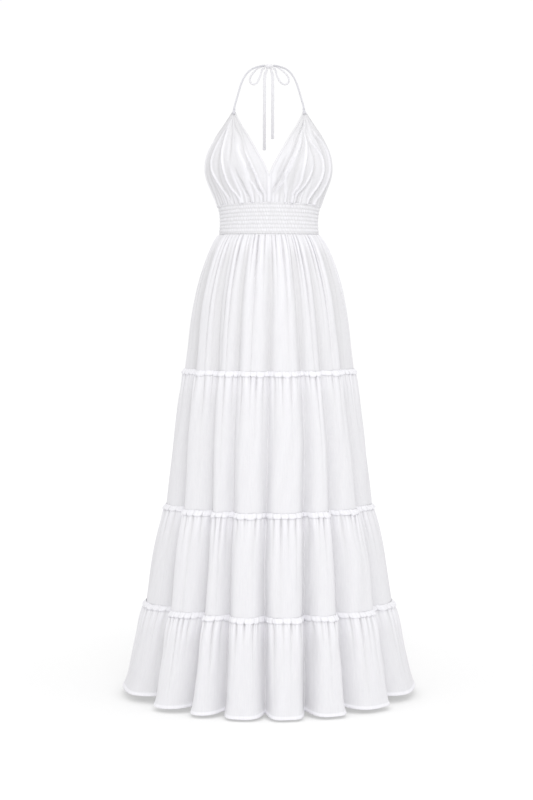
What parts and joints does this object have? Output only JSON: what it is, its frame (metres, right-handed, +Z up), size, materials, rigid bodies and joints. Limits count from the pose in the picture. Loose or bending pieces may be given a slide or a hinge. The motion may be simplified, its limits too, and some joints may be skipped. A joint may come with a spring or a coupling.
{
  "type": "halter maxi dress",
  "caption": "Full-length white halter dress with gathered triangle cups, a smocked waistband, a bare back, a bow tied at the nape and a skirt of gathered tiers with narrow headings.",
  "frame": {"origin": "the nape of the neck, where the halter tie rests on the wearer", "axes": "+Z up, the dress hangs down -Z; -Y is the front, with the V neckline; +X is the wearer's left"},
  "size_m": [0.6814, 0.623, 1.4807],
  "materials": {
    "cotton_cloth": "matt plain-woven white cotton, slightly crinkled",
    "cotton_binding": "matt folded and stitched white cotton, for the edges, straps and tie"
  },
  "bodies": {
    "root": {"cup_left": "cotton_cloth", "cup_right": "cotton_cloth", "waistband_front": "cotton_cloth", "waistband_back": "cotton_cloth", "tier_1_front": "cotton_cloth", "tier_1_back": "cotton_cloth", "tier_2_front": "cotton_cloth", "tier_2_back": "cotton_cloth", "tier_3_front": "cotton_cloth", "tier_3_back": "cotton_cloth", "tier_4_front": "cotton_cloth", "tier_4_back": "cotton_cloth", "neckline_left": "cotton_binding", "neckline_right": "cotton_binding", "side_binding_left": "cotton_binding", "side_binding_right": "cotton_binding", "neck_strap_left": "cotton_binding", "neck_strap_right": "cotton_binding", "neck_knot": "cotton_binding", "bow_loop_left": "cotton_binding", "bow_loop_right": "cotton_binding", "tie_end_left": "cotton_binding", "tie_end_right": "cotton_binding"}
  },
  "joints": []
}
